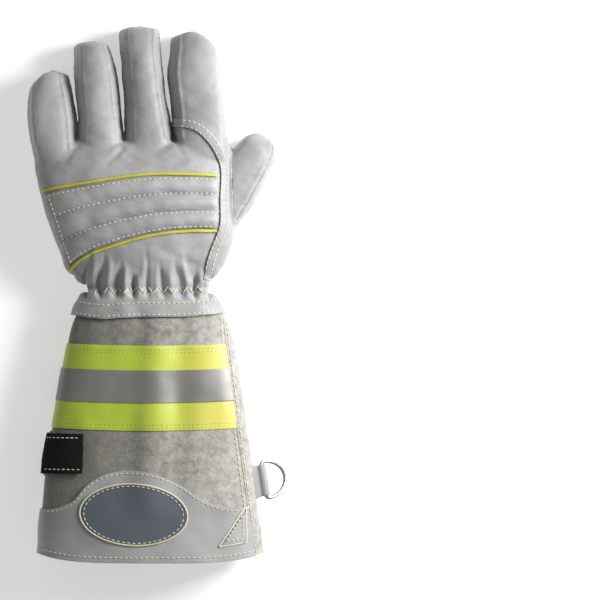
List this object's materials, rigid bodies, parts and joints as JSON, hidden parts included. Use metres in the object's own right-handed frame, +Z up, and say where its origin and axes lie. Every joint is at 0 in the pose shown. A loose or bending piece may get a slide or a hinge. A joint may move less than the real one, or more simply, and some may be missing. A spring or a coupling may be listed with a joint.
{
  "type": "firefighter glove",
  "caption": "Leather gauntlet glove for the left hand, with a quilted knuckle pad, a long suede cuff with reflective tape, a closing strap and a D-ring.",
  "frame": {"origin": "on the floor, under the middle of the glove's box, with the glove lying palm down", "axes": "+Y from the cuff's hem to the fingertips, +X towards the thumb side, +Z up off the back of the hand"},
  "size_m": [0.1736, 0.361, 0.0541],
  "materials": {
    "grain_leather": "smooth light grey grain leather, worn soft",
    "suede": "grey-brown suede split leather",
    "fluorescent": "fluorescent yellow-green tape",
    "silver": "grey retroreflective tape",
    "cord": "yellow piping cord",
    "hook_loop": "black loop tape",
    "label": "blue-grey coated cloth",
    "steel": "plain bent steel wire"
  },
  "bodies": {
    "glove": {"back_leather": "grain_leather", "palm_leather": "grain_leather", "finger_front_pinky": "grain_leather", "finger_front_ring": "grain_leather", "finger_front_middle": "grain_leather", "finger_wall_pinky_ring": "grain_leather", "finger_wall_ring_middle": "grain_leather", "finger_wall_middle_index": "grain_leather", "thumb_back": "grain_leather", "thumb_palm": "grain_leather", "knuckle_pad": "grain_leather", "piping_upper": "cord", "piping_lower": "cord", "index_welt": "grain_leather", "cuff_back": "suede", "cuff_palm": "suede", "tape_yellow": "fluorescent", "tape_silver": "silver", "hem_panel": "grain_leather", "oval_patch": "label", "corner_patch": "grain_leather", "palm_guard": "grain_leather", "strap_backing": "grain_leather", "loop_band": "hook_loop", "loop_patch": "hook_loop", "closure_tab": "grain_leather", "ring_loop": "grain_leather"},
    "ring": {"d_ring": "steel"}
  },
  "joints": [
    {"name": "ring_turn", "type": "hinge", "parent": "glove", "child": "ring", "pos_m": [0.07123, -0.12574, 0.024], "axis": [-0.1564, 0.9877, 0], "range_deg": [-118, 50]}
  ]
}
